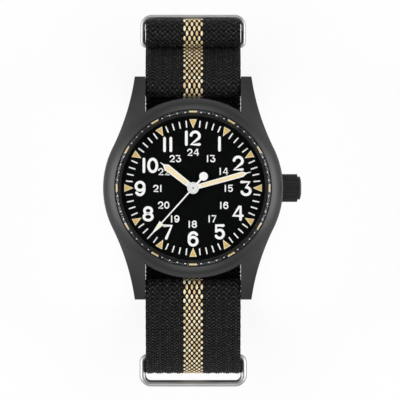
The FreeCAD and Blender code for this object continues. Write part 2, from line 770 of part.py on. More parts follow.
def short_strap():
    """Second layer under the case: sewn to the long strap, with a ring at its free end."""
    inner = strap_thickness + layer_gap
    radius = twelve_upper - inner
    rise = 25 - 11.5
    first = math.radians(11.5)
    centre_y = twelve_side_y - twelve_upper
    start = (centre_y + radius * math.cos(first), twelve_side_z + radius * math.sin(first))
    level = bar_z - under_case_drop - strap_thickness - layer_gap
    top_z = twelve_side_z + radius * math.sin(math.radians(25))
    bend = (level - top_z) / (1 - math.cos(math.radians(65)))
    run_start = centre_y + radius * math.cos(math.radians(25)) - bend * math.sin(math.radians(65))
    steps = [(radius, rise), (bend, 65), (run_start + 25.0,), (6.0, 51), (7.85,), (12.8, 39),
             (loop_wire + bar_gap + strap_thickness / 2, 180), (4.0, 20), (3.5, -34),
             (11.1, -22)]
    return start, 90 + 11.5, steps


def ring_bar_place():
    """Middle of the bar that the short strap's end is folded round."""
    start, heading, steps = short_strap()
    y, z, _ = walk(start, heading, steps[:6])[-1]
    return y + loop_wire + bar_gap + strap_thickness / 2, z


def short_strap_solid():
    start, heading, steps = short_strap()
    band = ribbon(start, heading, steps, strap_thickness, strap_width)
    y, z = ring_bar_place()
    for x in ((-10.1, -9.2), (9.2, 10.1)):
        band = band.cut(box(x, (y - 3, y + 3), (z - 3, z + 2)))
    return band


keeper_two_lean = -65
keeper_one_z = 28.0
keeper_one_low = 30.5
keeper_one_high = 37.13 - keeper_wire


def keeper_ring_one():
    return wire_loop(keeper_half_width, keeper_one_low, keeper_one_high, keeper_one_z,
                     (0.9, 1.9), keeper_wire)


def keeper_tab(bar_place, lean, reach=2.7):
    """Sewn fabric channel that holds a keeper's inner bar against the strap."""
    channel, wall = keeper_wire + 0.06, 0.7
    outer = channel + wall
    profile = Part.makeCylinder(outer, 17.0, V(-8.5, 0, 0), V(1, 0, 0))
    gap = keeper_wire + 0.13
    base = box((-8.5, 8.5), (gap - 0.55, gap), (-reach, reach))
    block = profile.fuse(base).fuse(box((-8.5, 8.5), (0, gap), (-outer, outer)))
    block = block.common(box((-9, 9), (-5, gap), (-5, 5)))
    block = block.cut(Part.makeCylinder(channel, 20, V(-10, 0, 0), V(1, 0, 0)))
    block = block.cut(box((-9, 9), (0, 3), (-channel, channel)))
    block.rotate(V(0, 0, 0), V(1, 0, 0), lean)
    block.translate(V(0, *bar_place))
    return block


def keeper_tab_lower():
    """The same channel, trimmed to the curve of the strap that it is sewn to."""
    inside = sewn_corner - strap_thickness / 2 - 0.03
    bend = Part.makeCylinder(inside, 20, V(-10, twelve_side_y - sewn_corner, twelve_side_z),
                             V(1, 0, 0))
    return keeper_tab(keeper_two_place(), keeper_two_lean).common(bend)


def keeper_two_place():
    """Inner bar of the second keeper, on the low curve under the lugs."""
    angle = math.radians(keeper_two_lean)
    reach = sewn_corner - strap_thickness / 2 - keeper_wire - 0.15
    return ((twelve_side_y - sewn_corner) + reach * math.cos(angle),
            twelve_side_z + reach * math.sin(angle))


def keeper_ring_two():
    y, z = keeper_two_place()
    opening = 5.05
    solid = wire_loop(keeper_half_width, y, y + opening, z, (0.9, 0.9), keeper_wire)
    solid.rotate(V(0, y, z), V(1, 0, 0), keeper_two_lean)
    return solid


def ring_three():
    y, z = ring_bar_place()
    return wire_loop(loop_half_width, loop_reach + loop_wire, y, z, (1.8, 1.2), loop_wire)


# buckle


def buckle_frame():
    """Hinge bar, far bar with a rest for the tongue, and two side bars joining them."""
    x = buckle_half_width - buckle_wire
    hinge = V(0, hinge_bar_y, hinge_bar_z)
    far = V(0, far_bar_y, far_bar_z)
    bars = []
    for centre in (hinge, far):
        bars.append(rod(buckle_wire, centre - V(x, 0, 0), centre + V(x, 0, 0)))
    for side in (-x, x):
        offset = V(side, 0, 0)
        bars.append(rod(buckle_wire, hinge + offset, far + offset))
        bars.append(Part.makeSphere(buckle_wire, hinge + offset))
        bars.append(Part.makeSphere(buckle_wire, far + offset))
    frame = bars[0].fuse(bars[1:])
    rest = box((-1.3, 1.3), (far_bar_y - 2, far_bar_y + 2), (-1, 1.0))
    return frame.cut(rest).removeSplitter()


def buckle_tongue():
    """Blade from the hinge bar, through the strap's slot, to its rest on the far bar."""
    start = (hinge_bar_y, hinge_bar_z)
    slope, reach, bend = 11.0, 14.7, 6.0
    blade = ribbon(start, 180 + slope, [(reach,), (bend, -slope), (3.0,)], tongue_thickness,
                   tongue_width)
    half = V(tongue_width / 2, 0, 0)
    hinge = V(0, *start)
    eye = rod(buckle_wire + 0.7, hinge - half, hinge + half)
    bore = rod(buckle_wire + bar_gap, hinge - half * 2, hinge + half * 2)
    return blade.fuse(eye).cut(bore)


def all_parts():
    hour_hand, hour_lume = hour_hand_parts()
    minute_hand, minute_lume = minute_hand_parts()
    seconds_hand, seconds_lume = seconds_hand_parts()
    parts = {
        "case_middle": case_middle(),
        "case_back": case_back(),
        "case_back_gasket": ring(15.65, 16.15, back_thickness, 1.7),
        "crystal": crystal(),
        "crystal_gasket": crystal_gasket(),
        "dial_flange": dial_flange(),
        "dial": dial(),
        "movement_holder": movement_holder(),
        "crown": knurled_crown(),
        "crown_stem": stem(),
        "crown_tube": crown_tube(),
        "crown_gasket": crown_gasket(),
        "clutch_wheel": clutch_wheel(),
        "hour_hand": hour_hand,
        "hour_hand_lume": hour_lume,
        "minute_hand": minute_hand,
        "minute_hand_lume": minute_lume,
        "seconds_hand": seconds_hand,
        "seconds_hand_lume": seconds_lume,
        "main_plate": main_plate(),
        "train_bridge": train_bridge(),
        "movement_screws": movement_screws(),
        "center_wheel": center_wheel(),
        "third_wheel": third_wheel(),
        "fourth_wheel": fourth_wheel(),
        "fifth_wheel": fifth_wheel(),
        "rotor": rotor(),
        "stator": stator(),
        "coil": coil(),
        "circuit_board": circuit_board(),
        "quartz_can": quartz_can(),
        "battery": battery(),
        "battery_clamp": battery_clamp(),
        "minute_wheel": minute_wheel(),
        "minute_wheel_post": minute_wheel_post(),
        "hour_wheel": hour_wheel(),
        "setting_wheel": setting_wheel(),
        "setting_lever": setting_lever(),
        "yoke": yoke(),
        "long_strap": long_strap(),
        "short_strap": short_strap_solid(),
        "keeper_ring_upper": keeper_ring_one(),
        "keeper_ring_lower": keeper_ring_two(),
        "keeper_tab_upper": keeper_tab((keeper_one_low, keeper_one_z), 7),
        "keeper_tab_lower": keeper_tab_lower(),
        "strap_ring": ring_three(),
        "buckle_frame": buckle_frame(),
        "buckle_tongue": buckle_tongue(),
    }
    for name, y in (("twelve", bar_y), ("six", -bar_y)):
        parts[f"spring_bar_tube_{name}"] = spring_bar_tube(y)
        parts[f"spring_bar_spring_{name}"] = spring_bar_spring(y)
        parts[f"spring_bar_pin_{name}_left"] = spring_bar_pin(y, -1)
        parts[f"spring_bar_pin_{name}_right"] = spring_bar_pin(y, 1)
    return parts


os.makedirs("parts", exist_ok=True)
for node, shape in all_parts().items():
    if not shape.isValid() or shape.Volume <= 0:
        print("check this shape:", node, shape.isValid(), shape.Volume)
    shape.exportStep(f"parts/{node}.step")
print("strap length", round(path_length(long_strap_steps()), 1), "mm")
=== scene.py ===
import math

import bmesh
import bpy
import numpy as np
from mathutils import Matrix, Vector


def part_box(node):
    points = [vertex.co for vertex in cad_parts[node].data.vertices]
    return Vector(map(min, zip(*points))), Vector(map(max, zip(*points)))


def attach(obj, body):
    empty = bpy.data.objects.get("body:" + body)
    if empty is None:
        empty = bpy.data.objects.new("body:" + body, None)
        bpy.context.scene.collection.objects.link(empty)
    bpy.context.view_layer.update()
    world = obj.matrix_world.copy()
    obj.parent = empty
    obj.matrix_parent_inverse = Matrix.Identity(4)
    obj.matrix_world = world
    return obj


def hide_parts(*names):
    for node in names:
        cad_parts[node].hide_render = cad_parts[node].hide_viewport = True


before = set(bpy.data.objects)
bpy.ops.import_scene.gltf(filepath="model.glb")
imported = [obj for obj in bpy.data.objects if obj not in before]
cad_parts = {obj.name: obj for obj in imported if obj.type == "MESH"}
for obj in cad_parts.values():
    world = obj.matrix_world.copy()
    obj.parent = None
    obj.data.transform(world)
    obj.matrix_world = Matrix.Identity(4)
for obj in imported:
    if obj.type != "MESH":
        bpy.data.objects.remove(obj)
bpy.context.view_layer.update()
mm = 0.001
photoPixel = 0.2111  # mm at the dial's distance
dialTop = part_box("dial")[1].z


def deselectAll():
    if bpy.context.object and bpy.context.object.mode != "OBJECT":
        bpy.ops.object.mode_set(mode="OBJECT")
    bpy.ops.object.select_all(action="DESELECT")


def pick(piece):
    deselectAll()
    piece.select_set(True)
    bpy.context.view_layer.objects.active = piece


def applyPlace(piece):
    pick(piece)
    bpy.ops.object.transform_apply(location=True, rotation=True, scale=True)


def applyModifiers(piece):
    pick(piece)
    for modifier in list(piece.modifiers):
        bpy.ops.object.modifier_apply(modifier=modifier.name)


def finishPiece(piece, name, body, material, stands=()):
    piece.name = name
    piece.data.name = name
    piece.data.materials.clear()
    for finish in material if isinstance(material, tuple) else (material,):
        piece.data.materials.append(finish)
    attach(piece, body)
    if stands:
        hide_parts(*stands)
    return piece


def copiesOf(seed, places, name):
    # one mesh made of copies of the seed, each at its own matrix
    points = np.array([v.co for v in seed.data.vertices])
    loops = [[v for v in face.vertices] for face in seed.data.polygons]
    marks = [face.material_index for face in seed.data.polygons]
    allPoints, allFaces = [], []
    for i, place in enumerate(places):
        matrix = np.array(place)
        allPoints.append(points @ matrix[:3, :3].T + matrix[:3, 3])
        allFaces += [[v + i * len(points) for v in loop] for loop in loops]
    mesh = bpy.data.meshes.new(name)
    mesh.from_pydata(np.concatenate(allPoints).tolist(), [], allFaces)
    mesh.polygons.foreach_set("material_index", marks * len(places))
    mesh.update()
    piece = bpy.data.objects.new(name, mesh)
    bpy.context.scene.collection.objects.link(piece)
    bpy.data.objects.remove(seed)
    return piece


def smooth(piece, degrees=35):
    pick(piece)
    bpy.ops.object.shade_smooth_by_angle(angle=math.radians(degrees))


# shader groups

def newGroup(name, inputs, outputs):
    group = bpy.data.node_groups.new(name, "ShaderNodeTree")
    for label, kind, value in inputs:
        socket = group.interface.new_socket(label, in_out="INPUT", socket_type=kind)
        socket.default_value = value
    for label, kind in outputs:
        group.interface.new_socket(label, in_out="OUTPUT", socket_type=kind)
    start = group.nodes.new("NodeGroupInput")
    end = group.nodes.new("NodeGroupOutput")
    return group, start, end


class NodeDesk:
    # short ways to add and join nodes in one tree
    def __init__(self, tree):
        self.tree = tree

    def put(self, kind, **settings):
        node = self.tree.nodes.new("ShaderNode" + kind)
        for key, value in settings.items():
            setattr(node, key, value)
        return node

    def join(self, source, target):
        self.tree.links.new(source, target)

    def maths(self, operation, a, b=None, clamp=False):
        node = self.put("Math", operation=operation, use_clamp=clamp)
        for socket, value in zip(node.inputs, (a, b)):
            if value is None:
                continue
            if isinstance(value, (int, float)):
                socket.default_value = value
            else:
                self.join(value, socket)
        return node.outputs[0]

    def mix(self, amount, a, b):
        node = self.put("Mix", data_type="RGBA")
        for socket, value in ((node.inputs[0], amount), (node.inputs[6], a), (node.inputs[7], b)):
            if isinstance(value, (int, float, tuple)):
                socket.default_value = value
            else:
                self.join(value, socket)
        return node.outputs[2]

    def noise(self, vector, scale, detail=3.0, roughness=0.5):
        node = self.put("TexNoise")
        node.inputs["Scale"].default_value = scale
        node.inputs["Detail"].default_value = detail
        node.inputs["Roughness"].default_value = roughness
        self.join(vector, node.inputs["Vector"])
        return node.outputs["Fac"]


def makeGrainGroup():
    # fine speckle of a blasted or moulded surface, with soft clouds of tone
    group, start, end = newGroup(
        "fineGrain",
        [("Color", "NodeSocketColor", (0.5, 0.5, 0.5, 1)), ("Tone Spread", "NodeSocketFloat", 0.1),
         ("Roughness", "NodeSocketFloat", 0.5), ("Roughness Spread", "NodeSocketFloat", 0.08),
         ("Grain Size", "NodeSocketFloat", 9000.0)],
        [("Color", "NodeSocketColor"), ("Roughness", "NodeSocketFloat"),
         ("Height", "NodeSocketFloat")])
    desk = NodeDesk(group)
    place = desk.put("TexCoord").outputs["Object"]
    grain = desk.put("TexNoise")
    grain.inputs["Detail"].default_value = 2.0
    desk.join(place, grain.inputs["Vector"])
    desk.join(start.outputs["Grain Size"], grain.inputs["Scale"])
    cloud = desk.noise(place, 260.0, 3.0)
    fromMiddle = desk.maths("SUBTRACT", desk.maths("ADD", cloud, grain.outputs["Fac"]), 1.0)
    shift = desk.maths("MULTIPLY", fromMiddle, start.outputs["Tone Spread"])
    factor = desk.maths("ADD", shift, 1.0)
    scaled = desk.put("VectorMath", operation="SCALE")
    desk.join(start.outputs["Color"], scaled.inputs[0])
    desk.join(factor, scaled.inputs["Scale"])
    desk.join(scaled.outputs["Vector"], end.inputs["Color"])
    wander = desk.maths("MULTIPLY", fromMiddle, start.outputs["Roughness Spread"])
    desk.join(desk.maths("ADD", start.outputs["Roughness"], wander, True), end.inputs["Roughness"])
    desk.join(grain.outputs["Fac"], end.inputs["Height"])
    return group


def makeBrushGroup():
    # long fine scratches along one axis, as on drawn or brushed metal
    group, start, end = newGroup(
        "drawnLines",
        [("Color", "NodeSocketColor", (0.5, 0.5, 0.5, 1)), ("Tone Spread", "NodeSocketFloat", 0.2),
         ("Roughness", "NodeSocketFloat", 0.3),
         ("Stretch", "NodeSocketVector", (300.0, 9000.0, 9000.0))],
        [("Color", "NodeSocketColor"), ("Roughness", "NodeSocketFloat"),
         ("Height", "NodeSocketFloat")])
    desk = NodeDesk(group)
    place = desk.put("TexCoord").outputs["Object"]
    long = desk.put("VectorMath", operation="MULTIPLY")
    desk.join(place, long.inputs[0])
    desk.join(start.outputs["Stretch"], long.inputs[1])
    lines = desk.noise(long.outputs["Vector"], 1.0, 3.0, 0.6)
    centred = desk.maths("SUBTRACT", lines, 0.5)
    factor = desk.maths("ADD", desk.maths("MULTIPLY", centred, start.outputs["Tone Spread"]), 1.0)
    scaled = desk.put("VectorMath", operation="SCALE")
    desk.join(start.outputs["Color"], scaled.inputs[0])
    desk.join(factor, scaled.inputs["Scale"])
    desk.join(scaled.outputs["Vector"], end.inputs["Color"])
    wander = desk.maths("MULTIPLY", centred, 0.25)
    desk.join(desk.maths("ADD", start.outputs["Roughness"], wander, True), end.inputs["Roughness"])
    desk.join(lines, end.inputs["Height"])
    return group


grainGroup = makeGrainGroup()
brushGroup = makeBrushGroup()


def principled(name, roughness=0.5, metallic=0.0, specular=0.5):
    material = bpy.data.materials.new(name)
    material.use_nodes = True
    shader = material.node_tree.nodes["Principled BSDF"]
    shader.inputs["Roughness"].default_value = roughness
    shader.inputs["Metallic"].default_value = metallic
    shader.inputs["Specular IOR Level"].default_value = specular
    return material, NodeDesk(material.node_tree), shader


def grainMaterial(name, color, roughness, metallic=0.0, specular=0.5, tone=0.12, spread=0.08,
                  size=9000.0, bump=0.05, edge=0.0):
    material, desk, shader = principled(name, roughness, metallic, specular)
    grain = desk.put("Group", node_tree=grainGroup)
    for label, value in (("Color", (*color, 1)), ("Tone Spread", tone), ("Roughness", roughness),
                         ("Roughness Spread", spread), ("Grain Size", size)):
        grain.inputs[label].default_value = value
    desk.join(grain.outputs["Color"], shader.inputs["Base Color"])
    desk.join(grain.outputs["Roughness"], shader.inputs["Roughness"])
    relief = desk.put("Bump")
    relief.inputs["Strength"].default_value = 1.0
    relief.inputs["Distance"].default_value = bump * mm
    desk.join(grain.outputs["Height"], relief.inputs["Height"])
    if edge:
        soft = desk.put("Bevel", samples=6)
        soft.inputs["Radius"].default_value = edge * mm
        desk.join(soft.outputs["Normal"], relief.inputs["Normal"])
    desk.join(relief.outputs["Normal"], shader.inputs["Normal"])
    return material


def brushedMaterial(name, color, roughness, tone=0.25, stretch=(300.0, 9000.0, 9000.0), bump=0.004):
    material, desk, shader = principled(name, roughness, 1.0)
    lines = desk.put("Group", node_tree=brushGroup)
    for label, value in (("Color", (*color, 1)), ("Tone Spread", tone), ("Roughness", roughness),
                         ("Stretch", stretch)):
        lines.inputs[label].default_value = value
    desk.join(lines.outputs["Color"], shader.inputs["Base Color"])
    desk.join(lines.outputs["Roughness"], shader.inputs["Roughness"])
    relief = desk.put("Bump")
    relief.inputs["Distance"].default_value = bump * mm
    desk.join(lines.outputs["Height"], relief.inputs["Height"])
    desk.join(relief.outputs["Normal"], shader.inputs["Normal"])
    return material


def glassMaterial():
    # coated crystal: weak mirror, and light passes straight through to the dial
    material, desk, shader = principled("sapphireCrystal", 0.0, 0.0, 0.5)
    shader.inputs["Base Color"].default_value = (1, 1, 1, 1)
    shader.inputs["Transmission Weight"].default_value = 1.0
    shader.inputs["IOR"].default_value = 1.8
    shader.inputs["Specular Tint"].default_value = (0.22, 0.23, 0.26, 1)
    rays = desk.put("LightPath")
    lightOnly = desk.maths("MAXIMUM", rays.outputs["Is Shadow Ray"], rays.outputs["Is Diffuse Ray"])
    blend = desk.put("MixShader")
    desk.join(lightOnly, blend.inputs[0])
    desk.join(shader.outputs[0], blend.inputs[1])
    desk.join(desk.put("BsdfTransparent").outputs[0], blend.inputs[2])
    desk.join(blend.outputs[0], material.node_tree.nodes["Material Output"].inputs["Surface"])
    return material


blackCase = grainMaterial("blackCoatedSteel", (0.052, 0.052, 0.053), 0.36, 0.7, 0.35, 0.10, 0.06,
                          9000.0, 0.006, 0.12)
# painted shade: the crown is the case's coated steel, given a darker colour that keeps its cap dim
crownPaintedShade = grainMaterial("blackCrownSteel", (0.026, 0.026, 0.027), 0.46, 0.5, 0.15, 0.15, 0.08,
                           7000.0, 0.006, 0.05)
dialPaint = grainMaterial("matteDialPaint", (0.0022, 0.0026, 0.0025), 0.7, 0.0, 0.02, 0.2, 0.1,
                          12000.0, 0.002)
flangePaint = grainMaterial("flangePaint", (0.016, 0.016, 0.017), 0.5, 0.0, 0.3, 0.15, 0.1,
                            12000.0, 0.002)
sealRubber = grainMaterial("sealRubber", (0.006, 0.006, 0.006), 0.6, 0.0, 0.25, 0.2, 0.1,
                           6000.0, 0.01)
handWhite = grainMaterial("handWhitePaint", (0.84, 0.84, 0.83), 0.32, 0.0, 0.5, 0.03, 0.05,
                          8000.0, 0.002, 0.06)
printWhite = grainMaterial("numeralPaint", (0.88, 0.88, 0.87), 0.5, 0.0, 0.3, 0.03, 0.08,
                           9000.0, 0.004)
markerGold = grainMaterial("markerGold", (0.70, 0.49, 0.16), 0.45, 0.0, 0.3, 0.12, 0.08,
                           9000.0, 0.004)
markerEdge = grainMaterial("markerEdge", (0.90, 0.80, 0.54), 0.45, 0.0, 0.3, 0.08, 0.08,
                           9000.0, 0.004)
creamLume = grainMaterial("creamLume", (0.83, 0.69, 0.42), 0.65, 0.0, 0.2, 0.10, 0.08,
                          7000.0, 0.01)
paleLume = grainMaterial("paleLume", (0.84, 0.84, 0.52), 0.65, 0.0, 0.2, 0.10, 0.08,
                         7000.0, 0.01)
polishedSteel = brushedMaterial("polishedSteel", (0.47, 0.47, 0.475), 0.42, 0.08,
                                (250.0, 5000.0, 5000.0), 0.0006)
steel = brushedMaterial("movementSteel", (0.56, 0.56, 0.57), 0.3)
brass = brushedMaterial("movementBrass", (0.72, 0.52, 0.22), 0.32)
copperWire = brushedMaterial("coilWire", (0.62, 0.27, 0.12), 0.35, 0.6,
                             (9000.0, 12000.0, 9000.0), 0.02)
whitePlastic = grainMaterial("whitePlastic", (0.72, 0.72, 0.69), 0.45, 0.0, 0.5, 0.05, 0.08,
                             5000.0, 0.01)
boardGreen = grainMaterial("circuitBoard", (0.03, 0.16, 0.07), 0.4, 0.0, 0.5, 0.2, 0.1,
                           4000.0, 0.02)
crystalGlass = glassMaterial()


# painted shade on the hub that the hands share: the rings, how far they darken the white paint, and
# their grey
hubRingShade = {"rings": ((0.95, 0.07), (0.52, 0.06), (0.2, 0.08)), "share": 0.55, "tone": 0.2}


def shadeHubRings(material):
    # painted shade: grey rings in the white paint where the hub's turned rings step down, each a
    # radius and half its width
    tree = material.node_tree
    desk = NodeDesk(tree)
    shader = next(node for node in tree.nodes if node.type == "BSDF_PRINCIPLED")
    paint = shader.inputs["Base Color"].links[0].from_socket
    place = desk.put("TexCoord")
    flat = desk.put("VectorMath", operation="MULTIPLY")
    desk.join(place.outputs["Object"], flat.inputs[0])
    flat.inputs[1].default_value = (1, 1, 0)
    reach = desk.put("VectorMath", operation="LENGTH")
    desk.join(flat.outputs[0], reach.inputs[0])
    rings = None
    for radius, half in hubRingShade["rings"]:
        off = desk.maths("ABSOLUTE", desk.maths("SUBTRACT", reach.outputs["Value"], radius * mm))
        line = desk.maths("SUBTRACT", 1.0, desk.maths("DIVIDE", off, half * mm), True)
        rings = line if rings is None else desk.maths("MAXIMUM", rings, line)
    # painted shade: on each ring the base colour is mixed toward grey
    share = desk.maths("MULTIPLY", rings, hubRingShade["share"])
    shade = (hubRingShade["tone"], hubRingShade["tone"], hubRingShade["tone"], 1)
    desk.join(desk.mix(share, paint, shade), shader.inputs["Base Color"])


shadeHubRings(handWhite)

# every node that isn't named here is movement steel
nodeFinish = {
    blackCase: ["case_middle", "case_back"],
    crownPaintedShade: ["crown"],
    dialPaint: ["dial"],
    flangePaint: ["dial_flange"],
    sealRubber: ["case_back_gasket", "crystal_gasket", "crown_gasket"],
    crystalGlass: ["crystal"],
    handWhite: ["hour_hand", "minute_hand", "seconds_hand"],
    creamLume: ["hour_hand_lume", "minute_hand_lume"],
    paleLume: ["seconds_hand_lume"],
    polishedSteel: ["keeper_ring_upper", "keeper_ring_lower", "strap_ring", "buckle_frame",
                    "buckle_tongue"],
    brass: ["main_plate", "center_wheel", "third_wheel", "minute_wheel", "hour_wheel"],
    copperWire: ["coil"],
    whitePlastic: ["movement_holder", "fifth_wheel"],
    boardGreen: ["circuit_board"],
}
finishOf = {node: finish for finish, nodes in nodeFinish.items() for node in nodes}
for node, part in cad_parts.items():
    part.data.materials.clear()
    part.data.materials.append(finishOf.get(node, steel))
print("materials on", len(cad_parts), "nodes")

# the strap's routes in the YZ plane: (length,) is a straight, (radius, turn) an arc

strap = {
    "width": 20.0, "thickness": 1.2, "gap": 0.1, "barGap": 0.05, "barRadius": 0.7,
    "barY": 21.2, "barDrop": 3.3, "underCorner": 1.3, "twelveY": 32.3, "twelveZ": 22.4,
    "buckleWire": 0.75, "hingeY": -6.0, "foldEnd": 7.0, "dipRadius": 4.0,
    "upperRadius": 45.9, "nearBarRadius": 20.5, "barZ": 48.2, "ringWire": 0.7,
    "upperTurn": 25, "nearBarTurn": 27, "overBarTurn": 38,
    "sixSide": [(4.5, 36), (43.5, 12), (88, 6), (14.1, 36)],
    "tailRise": 20, "rollRadius": 2.4, "tailTuck": 13.6,
}
# the second layer: from beside the 12 o'clock side, under the case, to its fold round the ring
secondLayer = {
    "start": 11.5, "bendTurn": 65, "flatPastMiddle": 25.0,
    "sixSide": [(6.0, 51), (7.85,), (12.8, 39)], "foldBack": [(4.0, 20), (3.5, -34), (11.1, -22)],
}
weave = {
    "rowStep": 0.935, "columnStep": 0.52, "columns": 38, "stripeColumns": 8, "cell": 0.4,
    "halfThick": 0.45, "scallop": 0.07, "ripple": 0.07, "edgeLoops": 0.2, "narrowRun": 1.5,
    "slotMargin": 0.3, "endMargin": 0.1,
}


def walk(start, heading, steps):
    # (y, z, angle) after each step
    y, z = start
    angle = math.radians(heading)
    places = [(y, z, angle)]
    for step in steps:
        if len(step) == 1:
            y += step[0] * math.cos(angle)
            z += step[0] * math.sin(angle)
        else:
            radius, turn = step[0], math.radians(step[1])
            side = math.copysign(1, turn)
            middle = (y - side * radius * math.sin(angle), z + side * radius * math.cos(angle))
            angle += turn
            y = middle[0] + side * radius * math.sin(angle)
            z = middle[1] - side * radius * math.cos(angle)
        places.append((y, z, angle))
    return places


def stepLength(step):
    return step[0] if len(step) == 1 else step[0] * abs(math.radians(step[1]))


def routeLength(steps):
    return sum(stepLength(step) for step in steps)


def placesAlong(start, heading, steps, distances):
    # y, z and angle for each distance, the distances growing
    corners = walk(start, heading, steps)
    ends = np.cumsum([stepLength(step) for step in steps])
    found = []
    for distance in distances:
        i = min(int(np.searchsorted(ends, distance)), len(steps) - 1)
        along = distance - (ends[i - 1] if i else 0.0)
        step = steps[i]
        part = (along,) if len(step) == 1 else (step[0], step[1] * along / stepLength(step))
        y, z, angle = corners[i]
        found.append(walk((y, z), math.degrees(angle), [part])[-1])
    return np.array(found)


def longRoute():
    thick, gap = strap["thickness"], strap["gap"]
    returnZ = thick * 1.5 + gap
    foldRadius = strap["buckleWire"] + strap["barGap"] + thick / 2
    hingeZ = returnZ + foldRadius
    sewnZ = returnZ + thick + strap["barGap"]
    dipTurn = math.degrees(math.acos(1 - (hingeZ + foldRadius - sewnZ) / (2 * strap["dipRadius"])))
    dipRun = 2 * strap["dipRadius"] * math.sin(math.radians(dipTurn))
    corner = strap["twelveZ"] - sewnZ
    wrap = strap["barRadius"] + strap["barGap"] + thick / 2
    down = strap["barDrop"] - strap["underCorner"]
    steps = [(strap["foldEnd"] - strap["hingeY"],), (foldRadius, -180),
             (strap["dipRadius"], -dipTurn), (strap["dipRadius"], dipTurn),
             (strap["twelveY"] - corner - strap["hingeY"] - dipRun,), (corner, 90),
             (strap["upperRadius"], strap["upperTurn"]),
             (strap["nearBarRadius"], strap["nearBarTurn"]), (wrap, strap["overBarTurn"]),
             (wrap, 90), (down,), (strap["underCorner"], -90),
             (2 * (strap["barY"] - wrap - strap["underCorner"]),), (strap["underCorner"], -90),
             (down,), (wrap, 90)] + strap["sixSide"]
    start, heading = (strap["foldEnd"], returnZ), 180
    dropY, dropZ, _ = walk(start, heading, steps)[-1]
    low = dropZ - thick / 2
    tailCorner = strap["twelveZ"] - thick / 2
    tailY = strap["twelveY"] + thick + gap
    steps += [(low, 90), (tailY - tailCorner - (dropY + low),), (tailCorner, 90),
              (strap["upperRadius"] + thick + gap, strap["tailRise"]),
              (strap["rollRadius"], -180 - strap["tailRise"]), (strap["tailTuck"],)]
    return start, heading, steps


def shortRoute():
    inner = strap["thickness"] + strap["gap"]
    radius = strap["upperRadius"] - inner
    middleY = strap["twelveY"] - strap["upperRadius"]
    low, high = math.radians(secondLayer["start"]), math.radians(strap["upperTurn"])
    bendTurn = math.radians(secondLayer["bendTurn"])
    start = (middleY + radius * math.cos(low), strap["twelveZ"] + radius * math.sin(low))
    level = strap["barZ"] - strap["barDrop"] - inner
    bend = (level - strap["twelveZ"] - radius * math.sin(high)) / (1 - math.cos(bendTurn))
    runStart = middleY + radius * math.cos(high) - bend * math.sin(bendTurn)
    ringFold = strap["ringWire"] + strap["barGap"] + strap["thickness"] / 2
    steps = [(radius, strap["upperTurn"] - secondLayer["start"]), (bend, secondLayer["bendTurn"]),
             (runStart + secondLayer["flatPastMiddle"],), *secondLayer["sixSide"],
             (ringFold, 180), *secondLayer["foldBack"]]
    return start, 90 + secondLayer["start"], steps


def wrapOnRoute(piece, route):
    # bends a flat piece (across, along, height) on to the route
    start, heading, steps = route
    mesh = piece.data
    flat = np.empty(len(mesh.vertices) * 3)
    mesh.vertices.foreach_get("co", flat)
    flat = flat.reshape(-1, 3) / mm
    total = routeLength(steps)
    order = np.argsort(flat[:, 1])
    along = np.clip(flat[order, 1], 0, total)
    known, index = np.unique(np.round(along, 4), return_inverse=True)
    places = placesAlong(start, heading, steps, known)[index]
    bent = np.empty_like(flat)
    outside = np.abs(flat[order, 0])
    ripple = weave["ripple"] * np.cos(outside / (4 * weave["columnStep"]) * 2 * math.pi)
    height = flat[order, 2] + ripple * np.clip((outside - 2.1) / 0.5, 0, 1)
    bent[order, 0] = flat[order, 0]
    bent[order, 1] = places[:, 0] - height * np.sin(places[:, 2])
    bent[order, 2] = places[:, 1] + height * np.cos(places[:, 2])
    mesh.vertices.foreach_set("co", (bent * mm).ravel())
    mesh.update()
    return piece


def slotGap(x, y, slot):
    # how far a point lies outside a round-ended slot (middle along, length, width)
    middle, length, width = slot
    reach = max(0.0, abs(y - middle) - (length - width) / 2)
    return math.hypot(x, reach) - width / 2


